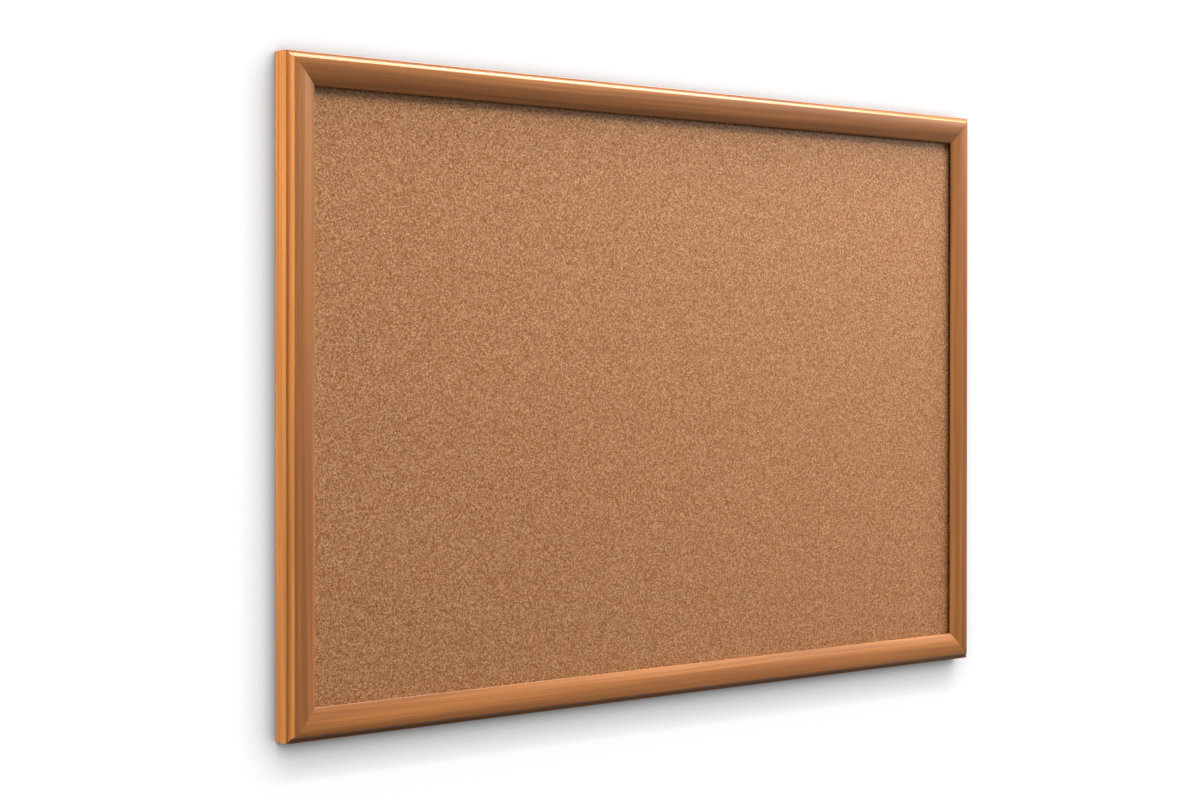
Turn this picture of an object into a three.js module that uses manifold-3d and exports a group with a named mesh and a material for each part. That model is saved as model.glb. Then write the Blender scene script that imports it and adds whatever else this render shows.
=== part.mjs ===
// A framed cork bulletin board, hung on a wall by two keyhole hangers.
// Millimetres. X runs to the viewer's right, Z runs up and the cork faces -Y.
// The origin is the middle of the board on the wall, so the wall is the plane Y = 0.
//
// A "height" is a distance off the wall and an "inset" a distance in from the board's outer edge.

import * as THREE from "three";
import { mergeVertices } from "three/addons/utils/BufferGeometryUtils.js";
import Module from "manifold-3d";

const wasm = await Module();
wasm.setup();

// Board
const boardWidth = 914.4;
const boardHeight = 609.6;

// Panel: paper, core and cork, from the wall forward
const paperThickness = 0.4;
const coreThickness = 6.35;
const corkThickness = 3.2;
const panelLap = 7.5; // how far the panel reaches in behind the lip
const panelEdgeClearance = 1.5; // room to swell, between the panel's edge and the bottom of the groove

// Moulding section
const faceWidth = 29.5;
const faceRadius = 48; // the rounded front face, one arc from shoulder to lip
const crownInset = 9.5; // where that arc is highest
const shoulderRadius = 0.6;
const coveRadius = 4.6;
const coveInset = 0.7;
const arrisRadius = 0.5; // the eased edges of the outer side
const flangeThickness = 3.4; // the wood behind the groove
const flangeSetback = 2.5; // how much shorter the flange is than the lip
const shadowGap = 3.1; // between the cork and the back of the lip
const lipThickness = 1.6;
const lipRadius = 0.7;
const lipBackCut = 0.8;
const mitreGlueLine = 0.1;

// V-nails across the mitres
const nailWing = 3.6;
const nailThickness = 0.6;
const nailLength = 10;
const nailSink = 0.3;
const nailHalfAngle = (55 * Math.PI) / 180;
const nailPlaceShares = { outer: 0.32, inner: 0.72 }; // of the solid wood between side and groove
const driveClearance = 0.1; // round nails, staple legs and screw shanks

// Staples through the flange
const stapleCrown = 5.8;
const stapleWire = 0.7; // across the wire, along the crown's depth
const stapleWireWidth = 1.2;
const stapleSink = 0.15;
const stapleSpacing = 175;
const stapleLegShare = 0.8; // of the core that a leg goes through

// Keyhole hangers in the stiles
const hangerDrop = 76.2; // from the board's top edge to the middle of a plate
const plateLength = 46;
const plateWidth = 14;
const plateThickness = 1.5;
const plateSink = 0.4;
const plateClearance = 0.3;
const keyholeRadius = 4.75;
const slotRadius = 2.3;
const slotTravel = 9.5; // from the middle of the round hole to the end of the slot
const pocketRadius = 5.5; // the space routed behind the plate for a screw's head
const pocketDepth = 5.5;
const screwHeadRadius = 2.9;
const screwShankRadius = 1.45;
const screwLength = 12.7;
const screwTip = 2.5;

const cutOverrun = 1; // how far a cut runs past the face that it opens
const sectionArcSteps = 8; // half the facets of each arc, here in the moulding's section
const slabArcSteps = 12;
const screwSteps = 32;

// Heights and insets that follow from the sizes above
const paperBack = flangeThickness;
const coreBack = paperBack + paperThickness;
const corkBack = coreBack + coreThickness;
const corkFace = corkBack + corkThickness;
const grooveFront = corkFace + shadowGap;
const lipFront = grooveFront + lipThickness;
const panelInset = faceWidth - panelLap;
const grooveInset = panelInset - panelEdgeClearance;
const flangeInset = faceWidth - flangeSetback;
const faceCentreHeight = lipFront - Math.sqrt(faceRadius ** 2 - (faceWidth - crownInset) ** 2);
const shoulderInset = coveInset + coveRadius;
const plateEndReach = (plateLength - plateWidth) / 2; // from a plate's middle to its ends' centres

const oak = new THREE.MeshStandardMaterial({ color: 0xb87c4b, roughness: 0.45, metalness: 0 });
const cork = new THREE.MeshStandardMaterial({ color: 0xb98d64, roughness: 0.95, metalness: 0 });
const fibreboard = new THREE.MeshStandardMaterial({ color: 0x9a8468, roughness: 0.95, metalness: 0 });
const kraft = new THREE.MeshStandardMaterial({ color: 0xa9825a, roughness: 0.85, metalness: 0 });
const zinc = new THREE.MeshStandardMaterial({ color: 0xc3c5c6, roughness: 0.35, metalness: 1 });
const steel = new THREE.MeshStandardMaterial({ color: 0x9c9c9b, roughness: 0.4, metalness: 1 });

// A closed geometry as a solid that can be cut
function toSolid(geometry) {
  const bare = geometry.clone();
  bare.deleteAttribute("normal");
  bare.deleteAttribute("uv");
  const merged = mergeVertices(bare);
  const triangles = [];
  for (let i = 0; i < merged.index.count; i += 3) {
    const [a, b, c] = merged.index.array.slice(i, i + 3);
    if (a !== b && b !== c && c !== a) triangles.push(a, b, c);
  }
  const mesh = new wasm.Mesh({
    numProp: 3,
    vertProperties: merged.attributes.position.array,
    triVerts: new Uint32Array(triangles),
  });
  return new wasm.Manifold(mesh);
}

function toGeometry(solid) {
  const { vertProperties, triVerts } = solid.getMesh();
  const geometry = new THREE.BufferGeometry();
  geometry.setAttribute("position", new THREE.BufferAttribute(vertProperties, 3));
  geometry.setIndex(new THREE.BufferAttribute(triVerts, 1));
  const faceted = geometry.toNonIndexed();
  faceted.computeVertexNormals();
  return faceted;
}

// One named piece, with any cuts taken out of it
function piece(name, geometry, material, cuts = []) {
  const solid = cuts.reduce((left, cut) => left.subtract(toSolid(cut)), toSolid(geometry));
  const mesh = new THREE.Mesh(toGeometry(solid), material);
  mesh.name = name;
  return mesh;
}

// An outline drawn as seen from the front, standing from one height to another
function slab(outline, backHeight, frontHeight) {
  const geometry = new THREE.ExtrudeGeometry(outline, {
    depth: frontHeight - backHeight,
    bevelEnabled: false,
    curveSegments: slabArcSteps,
  });
  return geometry.rotateX(Math.PI / 2).translate(0, -backHeight, 0);
}

function rectangle(width, height, x = 0, y = 0) {
  const shape = new THREE.Shape();
  shape.moveTo(x - width / 2, y - height / 2);
  shape.lineTo(x + width / 2, y - height / 2);
  shape.lineTo(x + width / 2, y + height / 2);
  shape.lineTo(x - width / 2, y + height / 2);
  shape.closePath();
  return shape;
}

// A slot with round ends, whose end centres lie at x = from and x = to
function stadium(from, to, radius) {
  const shape = new THREE.Shape();
  shape.absarc(to, 0, radius, -Math.PI / 2, Math.PI / 2);
  shape.absarc(from, 0, radius, Math.PI / 2, (3 * Math.PI) / 2);
  shape.closePath();
  return shape;
}

// The moulding's section: x is the inset and y the height
function mouldingSection() {
  const shoulderX = shoulderInset + shoulderRadius;
  const shoulderReach = faceRadius - shoulderRadius;
  const shoulderY = faceCentreHeight + Math.sqrt(shoulderReach ** 2 - (crownInset - shoulderX) ** 2);
  const shoulderTurn = Math.atan2(shoulderY - faceCentreHeight, shoulderX - crownInset);
  const lipX = faceWidth - lipRadius;
  const lipY = faceCentreHeight + Math.sqrt((faceRadius - lipRadius) ** 2 - (lipX - crownInset) ** 2);
  const lipTurn = Math.atan2(lipY - faceCentreHeight, lipX - crownInset);
  const sideHeight = shoulderY - coveRadius;

  const section = new THREE.Shape();
  section.moveTo(arrisRadius, 0);
  section.lineTo(flangeInset, 0);
  section.lineTo(flangeInset, flangeThickness);
  section.lineTo(grooveInset, flangeThickness);
  section.lineTo(grooveInset, grooveFront);
  section.lineTo(faceWidth - lipBackCut, grooveFront);
  section.lineTo(faceWidth, grooveFront + lipBackCut);
  section.absarc(lipX, lipY, lipRadius, 0, lipTurn);
  section.absarc(crownInset, faceCentreHeight, faceRadius, lipTurn, shoulderTurn);
  section.absarc(shoulderX, shoulderY, shoulderRadius, shoulderTurn, Math.PI);
  section.absarc(coveInset, shoulderY, coveRadius, 0, -Math.PI / 2, true);
  section.absarc(arrisRadius, sideHeight - arrisRadius, arrisRadius, Math.PI / 2, Math.PI);
  section.absarc(arrisRadius, arrisRadius, arrisRadius, Math.PI, (3 * Math.PI) / 2);
  return section;
}

// A length of moulding along X whose ends are mitred: each point of the section stops short of
// the corner by its own inset. Its outer side faces +Z.
function mitredLength(outerLength, outerReach) {
  const geometry = new THREE.ExtrudeGeometry(mouldingSection(), {
    depth: 1,
    bevelEnabled: false,
    curveSegments: sectionArcSteps,
  });
  const position = geometry.attributes.position;
  for (let i = 0; i < position.count; i += 1) {
    const inset = position.getX(i);
    const height = position.getY(i);
    const end = 1 - 2 * position.getZ(i);
    const reach = (outerLength - mitreGlueLine) / 2 - inset;
    position.setXYZ(i, end * reach, -height, outerReach - inset);
  }
  return geometry;
}

// A V-nail's section, grown all round for the pocket that it is driven into.
// The bend points along +X, towards the outer corner, and the wings straddle the mitre.
function nailSection(growth) {
  const along = new THREE.Vector2(-Math.cos(nailHalfAngle), Math.sin(nailHalfAngle));
  const across = new THREE.Vector2(along.y, -along.x);
  const halfThickness = nailThickness / 2 + growth;
  const bend = halfThickness / Math.sin(nailHalfAngle);
  const wingEnd = along.clone().multiplyScalar(nailWing + growth);
  const outer = wingEnd.clone().addScaledVector(across, halfThickness);
  const inner = wingEnd.clone().addScaledVector(across, -halfThickness);
  const shape = new THREE.Shape();
  shape.moveTo(bend, 0);
  shape.lineTo(outer.x, outer.y);
  shape.lineTo(inner.x, inner.y);
  shape.lineTo(-bend, 0);
  shape.lineTo(inner.x, -inner.y);
  shape.lineTo(outer.x, -outer.y);
  shape.closePath();
  return shape;
}

// Where a V-nail stands at one end of a moulding: end is 1 at +X and -1 at -X
function nailPlace(outerLength, outerReach, end, share) {
  const inset = share * grooveInset;
  const place = new THREE.Object3D();
  place.position.set(end * (outerLength / 2 - inset), 0, outerReach - inset);
  place.rotation.y = (-end * Math.PI) / 4 + (end < 0 ? Math.PI : 0);
  place.updateMatrix();
  return place;
}

// A staple: the crown lies along X, sunk in the back of the flange, and the legs point forward
function stapleSection(growth) {
  const half = stapleCrown / 2 + growth;
  const legEnd = coreBack + stapleLegShare * coreThickness + growth;
  const innerHalf = half - stapleWire - 2 * growth;
  const crownFront = stapleSink + stapleWire;
  const crownBack = growth > 0 ? -cutOverrun : stapleSink;
  const shape = new THREE.Shape();
  shape.moveTo(-half, crownBack);
  shape.lineTo(half, crownBack);
  shape.lineTo(half, legEnd);
  shape.lineTo(innerHalf, legEnd);
  shape.lineTo(innerHalf, crownFront);
  shape.lineTo(-innerHalf, crownFront);
  shape.lineTo(-innerHalf, legEnd);
  shape.lineTo(-half, legEnd);
  shape.closePath();
  return shape;
}

function stapleBody(growth) {
  const width = stapleWireWidth + 2 * growth;
  const geometry = new THREE.ExtrudeGeometry(stapleSection(growth), { depth: width, bevelEnabled: false });
  return geometry.translate(0, 0, -width / 2).rotateZ(Math.PI).rotateY(Math.PI);
}

function staplePlaces(outerLength, outerReach) {
  const sightLength = outerLength - 2 * faceWidth;
  const count = Math.max(2, Math.round(sightLength / stapleSpacing));
  const inset = (panelInset + flangeInset) / 2;
  return Array.from({ length: count }, (_, i) => {
    const share = (i + 1 / 2) / count - 1 / 2;
    return new THREE.Vector3(share * sightLength, 0, outerReach - inset);
  });
}

// The keyhole's outline: a round hole below and a slot that runs up from it, towards +X
function keyhole() {
  const turn = Math.asin(slotRadius / keyholeRadius);
  const path = new THREE.Path();
  path.absarc(-slotTravel / 2, 0, keyholeRadius, turn, 2 * Math.PI - turn);
  path.absarc(slotTravel / 2, 0, slotRadius, -Math.PI / 2, Math.PI / 2);
  path.closePath();
  return path;
}

// A screw or its hole, on the Y axis with its head's top at the plate's outer face
function screwBody(clearance, headOverrun) {
  const headHeight = screwHeadRadius - screwShankRadius;
  const shank = screwShankRadius + clearance;
  const profile = [
    new THREE.Vector2(0, -screwLength - clearance),
    new THREE.Vector2(shank, screwTip - screwLength),
    new THREE.Vector2(shank, clearance - headHeight),
    new THREE.Vector2(screwHeadRadius, 0),
    new THREE.Vector2(screwHeadRadius, headOverrun),
    new THREE.Vector2(0, headOverrun),
  ];
  return new THREE.LatheGeometry(profile, screwSteps).translate(0, -plateSink, 0);
}

function hangerPlate() {
  const outline = stadium(-plateEndReach, plateEndReach, plateWidth / 2);
  outline.holes.push(keyhole());
  return slab(outline, plateSink, plateSink + plateThickness);
}

// What the router takes out of a stile behind one hanger
function hangerCuts() {
  const seat = plateSink + plateThickness;
  const mortise = stadium(-plateEndReach, plateEndReach, plateWidth / 2 + plateClearance);
  const pocket = stadium(-slotTravel / 2, slotTravel / 2, pocketRadius);
  return [slab(mortise, -cutOverrun, seat), slab(pocket, -cutOverrun, seat + pocketDepth)];
}

const screwOffsets = { upper: plateEndReach, lower: -plateEndReach };

function screwCut(offset) {
  return screwBody(driveClearance, cutOverrun).translate(offset, 0, 0);
}

// One side of the frame with its staples, the V-nails of the corner at its +X end and, on a
// stile, its hanger. up is the end of the moulding, 1 or -1, that is at the board's top.
function frameSide({ name, side, corner, outerLength, outerReach, turn, up = 0 }) {
  const group = new THREE.Group();
  group.rotation.y = turn;

  const cuts = [];
  for (const end of [1, -1]) {
    for (const [row, share] of Object.entries(nailPlaceShares)) {
      const place = nailPlace(outerLength, outerReach, end, share);
      const bottom = nailSink + nailLength;
      cuts.push(slab(nailSection(driveClearance), -cutOverrun, bottom).applyMatrix4(place.matrix));
      if (end < 0) continue;
      const nail = piece(`v_nail_${corner}_${row}`, slab(nailSection(0), nailSink, bottom), steel);
      nail.position.copy(place.position);
      nail.rotation.copy(place.rotation);
      group.add(nail);
    }
  }

  staplePlaces(outerLength, outerReach).forEach((place, i) => {
    cuts.push(stapleBody(driveClearance).translate(place.x, place.y, place.z));
    const staple = piece(`panel_staple_${side}_${i + 1}`, stapleBody(0), steel);
    staple.position.copy(place);
    group.add(staple);
  });

  if (up !== 0) {
    const hanger = new THREE.Group();
    hanger.position.set(up * (outerLength / 2 - hangerDrop), 0, outerReach - grooveInset / 2);
    hanger.rotation.y = up > 0 ? 0 : Math.PI;
    hanger.updateMatrix();
    const plateCuts = [];
    for (const [place, offset] of Object.entries(screwOffsets)) {
      const screw = piece(`hanger_screw_${side}_${place}`, screwBody(0, 0), zinc);
      screw.position.x = offset;
      hanger.add(screw);
      plateCuts.push(screwCut(offset));
      cuts.push(screwCut(offset).applyMatrix4(hanger.matrix));
    }
    hanger.add(piece(`hanger_plate_${side}`, hangerPlate(), zinc, plateCuts));
    hangerCuts().forEach((cut) => cuts.push(cut.applyMatrix4(hanger.matrix)));
    group.add(hanger);
  }

  group.add(piece(name, mitredLength(outerLength, outerReach), oak, cuts));
  return group;
}

const sides = [
  {
    name: "top_rail",
    side: "top",
    corner: "top_right",
    outerLength: boardWidth,
    outerReach: boardHeight / 2,
    turn: 0,
  },
  {
    name: "right_stile",
    side: "right",
    corner: "bottom_right",
    outerLength: boardHeight,
    outerReach: boardWidth / 2,
    turn: Math.PI / 2,
    up: -1,
  },
  {
    name: "bottom_rail",
    side: "bottom",
    corner: "bottom_left",
    outerLength: boardWidth,
    outerReach: boardHeight / 2,
    turn: Math.PI,
  },
  {
    name: "left_stile",
    side: "left",
    corner: "top_left",
    outerLength: boardHeight,
    outerReach: boardWidth / 2,
    turn: -Math.PI / 2,
    up: 1,
  },
];

// One layer of the panel, and the staple legs that go into it
function panelLayer(name, backHeight, frontHeight, material, stapled) {
  const outline = rectangle(boardWidth - 2 * panelInset, boardHeight - 2 * panelInset);
  const cuts = [];
  if (stapled) {
    for (const { outerLength, outerReach, turn } of sides) {
      for (const place of staplePlaces(outerLength, outerReach)) {
        cuts.push(stapleBody(driveClearance).translate(place.x, place.y, place.z).rotateY(turn));
      }
    }
  }
  return piece(name, slab(outline, backHeight, frontHeight), material, cuts);
}

const board = new THREE.Group();
board.name = "cork_bulletin_board";
sides.forEach((side) => board.add(frameSide(side)));
board.add(panelLayer("backing_paper", paperBack, coreBack, kraft, true));
board.add(panelLayer("fibreboard_core", coreBack, corkBack, fibreboard, true));
board.add(panelLayer("cork_sheet", corkBack, corkFace, cork, false));

export default board;
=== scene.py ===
"""A framed cork bulletin board on a pale wall: the looks that go round its CAD frame."""

import math
import random

import bmesh
import bpy
from bpy.props import FloatProperty, FloatVectorProperty, IntProperty, PointerProperty
from bpy.types import Operator, Panel, PropertyGroup
from mathutils import Matrix, Vector, noise


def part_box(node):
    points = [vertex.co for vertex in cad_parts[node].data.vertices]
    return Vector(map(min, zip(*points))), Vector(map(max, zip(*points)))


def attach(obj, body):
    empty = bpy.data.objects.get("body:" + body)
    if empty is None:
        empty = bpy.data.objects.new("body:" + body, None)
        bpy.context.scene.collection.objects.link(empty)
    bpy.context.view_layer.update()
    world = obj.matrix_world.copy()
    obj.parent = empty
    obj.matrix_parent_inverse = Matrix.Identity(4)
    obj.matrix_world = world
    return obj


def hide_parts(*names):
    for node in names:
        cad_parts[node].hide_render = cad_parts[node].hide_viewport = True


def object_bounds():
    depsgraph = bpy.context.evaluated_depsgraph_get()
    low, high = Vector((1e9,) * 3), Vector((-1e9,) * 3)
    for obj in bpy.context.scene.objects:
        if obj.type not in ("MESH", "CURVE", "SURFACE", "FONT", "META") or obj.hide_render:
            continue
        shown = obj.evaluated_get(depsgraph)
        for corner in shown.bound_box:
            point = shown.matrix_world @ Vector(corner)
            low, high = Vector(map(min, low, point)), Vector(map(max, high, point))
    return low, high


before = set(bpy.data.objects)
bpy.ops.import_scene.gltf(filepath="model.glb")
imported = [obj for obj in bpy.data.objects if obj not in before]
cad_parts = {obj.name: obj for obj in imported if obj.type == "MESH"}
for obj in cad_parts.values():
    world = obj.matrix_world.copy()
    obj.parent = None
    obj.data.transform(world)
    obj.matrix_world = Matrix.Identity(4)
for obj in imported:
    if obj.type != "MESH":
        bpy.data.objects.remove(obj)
CAD_LOW, CAD_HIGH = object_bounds()

bl_info = {
    "name": "Cork bulletin board",
    "version": (1, 0, 0),
    "blender": (4, 5, 0),
    "location": "3D View > Sidebar > Cork board",
    "description": "Builds a framed cork bulletin board with keyhole hangers and its stage",
    "category": "Object",
}

BODY = "root"
SIDES = ("left", "right")
CREASE = math.radians(28)  # faces that meet at more than this show a sharp edge
CUT_OVERRUN = 0.001  # how far a cut runs past the face that it opens

# Directions in the frame, for a piece's own axes
LEFT, RIGHT, DOWN, UP, OUT = (-1, 0, 0), (1, 0, 0), (0, 0, -1), (0, 0, 1), (0, -1, 0)


def from_srgb(red, green, blue):
    """A colour given in 0 to 255 as a colour picker shows it, made linear."""
    shares = (value / 255 for value in (red, green, blue))
    return tuple(s / 12.92 if s <= 0.04045 else ((s + 0.055) / 1.055) ** 2.4 for s in shares)


def length(label, description, default):
    return FloatProperty(
        name=label, description=description, default=default, unit="LENGTH", precision=5
    )


def colour(label, description, *srgb):
    tint = from_srgb(*srgb)
    return FloatVectorProperty(
        name=label, description=description, default=tint, subtype="COLOR", size=3, min=0, max=1
    )


class CORKBOARD_PG_moulding(PropertyGroup):
    """Sizes of the moulding. An inset is measured in from the outer side, a height off the wall."""

    board_width: length("Board width", "Outside width of the frame", CAD_HIGH.x - CAD_LOW.x)
    board_height: length("Board height", "Outside height of the frame", CAD_HIGH.z - CAD_LOW.z)
    face_width: length("Face width", "From the outer side to the lip", 0.0295)
    face_radius: length("Face radius", "Radius of the rounded front face", 0.048)
    crown_inset: length("Crown inset", "Where the front face is highest", 0.0095)
    shoulder_radius: length("Shoulder radius", "Between the cove and the front face", 0.0006)
    cove_radius: length("Cove radius", "Radius of the hollow along the outer edge", 0.0046)
    cove_inset: length("Cove inset", "Where the hollow starts", 0.0007)
    arris_radius: length("Arris radius", "Radius of the outer side's eased edges", 0.0005)
    flange_thickness: length("Flange thickness", "Wood behind the groove", 0.0034)
    flange_inset: length("Flange inset", "Where the flange behind the groove ends", 0.027)
    groove_inset: length("Groove inset", "Where the groove's bottom lies", 0.0205)
    groove_front: length("Groove front", "Height of the lip's back", 0.01645)
    lip_front: length("Lip front", "Height at which the front face meets the lip", 0.01805)
    lip_radius: length("Lip radius", "Radius of the lip's edge", 0.0007)
    lip_back_cut: length("Lip back cut", "Chamfer at the back of the lip", 0.0008)
    wrap_lap: length("Wrap lap", "How far the finish laps onto the back", 0.0042)
    mitre_gap: length("Mitre gap", "Glue line between two mitred ends", 0.0001)
    mitre_ease: length("Mitre ease", "Softening of the cut edges at a mitre", 0.00014)


class CORKBOARD_PG_hardware(PropertyGroup):
    """Sizes of the metal parts behind the board."""

    plate_length: length("Plate length", "Length of a hanger plate", 0.046)
    plate_width: length("Plate width", "Width of a hanger plate", 0.014)
    plate_thickness: length("Plate thickness", "Thickness of a hanger plate", 0.0015)
    plate_sink: length("Plate sink", "How far a plate lies below the back", 0.0004)
    plate_clearance: length("Plate clearance", "Room round a plate in its recess", 0.0003)
    keyhole_radius: length("Keyhole radius", "Round end of the keyhole", 0.00475)
    slot_radius: length("Slot radius", "Half the width of the keyhole's slot", 0.0023)
    slot_travel: length("Slot travel", "From the round hole's middle to the slot's end", 0.0095)
    pocket_radius: length("Pocket radius", "Space behind the plate for a screw's head", 0.0055)
    pocket_depth: length("Pocket depth", "Depth of that space behind the plate", 0.0055)
    screw_head_radius: length("Screw head radius", "Countersunk head", 0.0029)
    screw_shank_radius: length("Screw shank radius", "Outside of the thread", 0.00145)
    screw_core_radius: length("Screw core radius", "Core inside the thread", 0.00105)
    screw_length: length("Screw length", "From the head's top to the tip", 0.0127)
    screw_tip: length("Screw tip", "Length of the pointed end", 0.0025)
    screw_pitch: length("Screw pitch", "Distance between two turns of the thread", 0.0012)
    staple_wire: length("Staple wire", "Thickness of a staple's wire", 0.0007)
    drive_clearance: length("Drive clearance", "Room round a driven nail or staple", 0.0001)
    nail_wing: length("Nail wing", "Length of a V-nail's wing", 0.0036)
    nail_thickness: length("Nail thickness", "Sheet thickness of a V-nail", 0.0006)
    nail_length: length("Nail length", "How deep a V-nail goes", 0.0103)


class CORKBOARD_PG_finish(PropertyGroup):
    """Colours and textures of the board and of its stage."""

    oak_light: colour("Oak, light", "Light bands of the oak finish", 174, 111, 58)
    oak_dark: colour("Oak, dark", "Dark bands of the oak finish", 144, 86, 38)
    oak_pore: colour("Oak pores", "Thin dark dashes along the grain", 104, 62, 34)
    core_wood: colour("Moulding core", "Pressed wood under the oak finish", 146, 112, 78)
    cork_mean: colour("Cork", "Most of the granules", 184, 129, 85)
    cork_light: colour("Cork, light", "The lightest granules", 218, 170, 126)
    cork_dark: colour("Cork, dark", "The darker granules", 152, 92, 40)
    cork_bark: colour("Cork bark", "Specks of bark between the granules", 98, 58, 28)
    fibreboard: colour("Fibreboard", "Soft core of the panel", 158, 134, 100)
    kraft: colour("Kraft paper", "Paper on the panel's back", 176, 136, 92)
    zinc: colour("Zinc", "Hanger plates and their screws", 206, 208, 210)
    steel: colour("Steel", "Staples and V-nails", 168, 168, 166)
    wall: colour("Wall", "Wall behind the board, without its glow", 97, 97, 98)
    floor: colour("Floor", "Pale floor", 236, 235, 232)
    granule: length("Granule", "Size of a cork granule", 0.0012)
    relief: length("Relief", "Depth of the cork's uneven face", 0.00006)
    relief_spacing: length("Relief spacing", "Between points of the cork's face", 0.0024)
    seed: IntProperty(name="Seed", description="Start of the random draws", default=7, min=0)


# Mesh helpers


def new_object(bm, name, materials):
    """Turns a bmesh into an object of the scene."""
    mesh = bpy.data.meshes.new(name)
    bm.to_mesh(mesh)
    bm.free()
    piece = bpy.data.objects.new(name, mesh)
    bpy.context.scene.collection.objects.link(piece)
    for material in materials:
        mesh.materials.append(material)
    return piece


def mark_creases(bm, crease=CREASE):
    """Shades a bmesh smooth, but for edges sharper than the crease."""
    for face in bm.faces:
        face.smooth = True
    for edge in bm.edges:
        edge.smooth = edge.is_manifold and edge.calc_face_angle(0) < crease


def finish_mesh(bm, name, *finishes, crease=CREASE):
    """Turns a bmesh into an object with these finishes and its normals outwards."""
    bmesh.ops.recalc_face_normals(bm, faces=bm.faces)
    mark_creases(bm, crease)
    return new_object(bm, name, [finish_material(finish) for finish in finishes])


def place_piece(piece, slot, *nodes):
    """The piece rides with the board and stands for these CAD nodes. The slot is not used."""
    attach(piece, BODY)
    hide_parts(*nodes)


def dress(node, material):
    """Gives a CAD node that stays as it is a better material."""
    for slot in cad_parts[node].material_slots:
        slot.material = finish_material(material)


def modify(piece, name, kind, **settings):
    modifier = piece.modifiers.new(name, kind)
    for key, value in settings.items():
        setattr(modifier, key, value)


def even_normals(piece):
    modify(piece, "even_normals", "WEIGHTED_NORMAL", keep_sharp=True, weight=80)


def ease_edges(piece, width, segments):
    limit = {"limit_method": "ANGLE", "angle_limit": math.radians(32)}
    modify(piece, "eased_edges", "BEVEL", width=width, segments=segments, **limit)


def cut_out(piece, cutters):
    """Takes closed cutters out of a piece, one after another, and re-marks its sharp edges."""
    for cutter in cutters:
        modify(piece, "cut", "BOOLEAN", operation="DIFFERENCE", solver="EXACT", object=cutter)
        bpy.context.view_layer.update()
        depsgraph = bpy.context.evaluated_depsgraph_get()
        cut = bpy.data.meshes.new_from_object(piece.evaluated_get(depsgraph), depsgraph=depsgraph)
        piece.modifiers.clear()
        old, piece.data = piece.data, cut
        cut.name = piece.name
        spent = cutter.data
        bpy.data.objects.remove(cutter)
        for mesh in (old, spent):
            bpy.data.meshes.remove(mesh)
    bm = bmesh.new()
    bm.from_mesh(piece.data)
    mark_creases(bm)
    bm.to_mesh(piece.data)
    bm.free()


def add_box(bm, low, high):
    verts = bmesh.ops.create_cube(bm, size=1)["verts"]
    low, high = Vector(low), Vector(high)
    bmesh.ops.scale(bm, vec=high - low, verts=verts)
    bmesh.ops.translate(bm, vec=(low + high) / 2, verts=verts)
    return verts


def spin(bm, geometry, centre, angle, steps, **options):
    """Sweeps points and edges about an axis along Z."""
    options.update(axis=(0, 0, 1), use_duplicate=False)
    bmesh.ops.spin(bm, geom=geometry, cent=centre, angle=angle, steps=steps, **options)


class Outline:
    """Draws a closed outline in a bmesh with straight runs and spun arcs."""

    def __init__(self, bm, start):
        self.bm = bm
        self.last = bmesh.ops.create_vert(bm, co=(*start, 0))["vert"][0]
        self.verts = [self.last]

    def line(self, x, y):
        self.last = bmesh.ops.extrude_vert_indiv(self.bm, verts=[self.last])["verts"][0]
        self.last.co = (x, y, 0)
        self.verts.append(self.last)

    def arc(self, centre, degrees, steps):
        known = set(self.bm.verts)
        spin(self.bm, [self.last], (*centre, 0), math.radians(degrees), steps)
        made = {vert for vert in self.bm.verts if vert not in known}
        while made:
            ends = (edge.other_vert(self.last) for edge in self.last.link_edges)
            self.last = next(vert for vert in ends if vert in made)
            made.remove(self.last)
            self.verts.append(self.last)

    def face(self):
        """Joins the last point to the first and fills the outline."""
        first = self.verts[0]
        if (self.last.co - first.co).length < 1e-7:
            bmesh.ops.pointmerge(self.bm, verts=[first, self.last], merge_co=first.co)
            self.verts.pop()
        return self.bm.faces.new(self.verts)


def only(items, kind):
    return [item for item in items if isinstance(item, kind)]


def extrude_face(bm, face, depth):
    """Pulls a face along Z into a closed solid."""
    made = bmesh.ops.extrude_face_region(bm, geom=[face])["geom"]
    bmesh.ops.translate(bm, vec=(0, 0, depth), verts=only(made, bmesh.types.BMVert))


def add_slab(bm, draw, low, high, matrix):
    """A flat shape drawn by draw(bm), from the height low to high off the wall."""
    known = set(bm.verts)
    extrude_face(bm, draw(bm), high - low)
    verts = [vert for vert in bm.verts if vert not in known]
    bmesh.ops.translate(bm, vec=(0, 0, low), verts=verts)
    bmesh.ops.transform(bm, matrix=matrix, verts=verts)


def stadium(reach, radius, steps=24):
    """A long hole or plate with round ends, their centres at reach from its middle."""

    def draw(bm):
        outline = Outline(bm, (reach, -radius))
        outline.arc((reach, 0), 180, steps)
        outline.line(-reach, radius)
        outline.arc((-reach, 0), 180, steps)
        return outline.face()

    return draw


def from_axes(x, y, z, place):
    """The matrix that lays a piece's own axes along these directions, its origin at the place."""
    return Matrix.Translation(place) @ Matrix((x, y, z)).transposed().to_4x4()


# Node helpers


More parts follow.
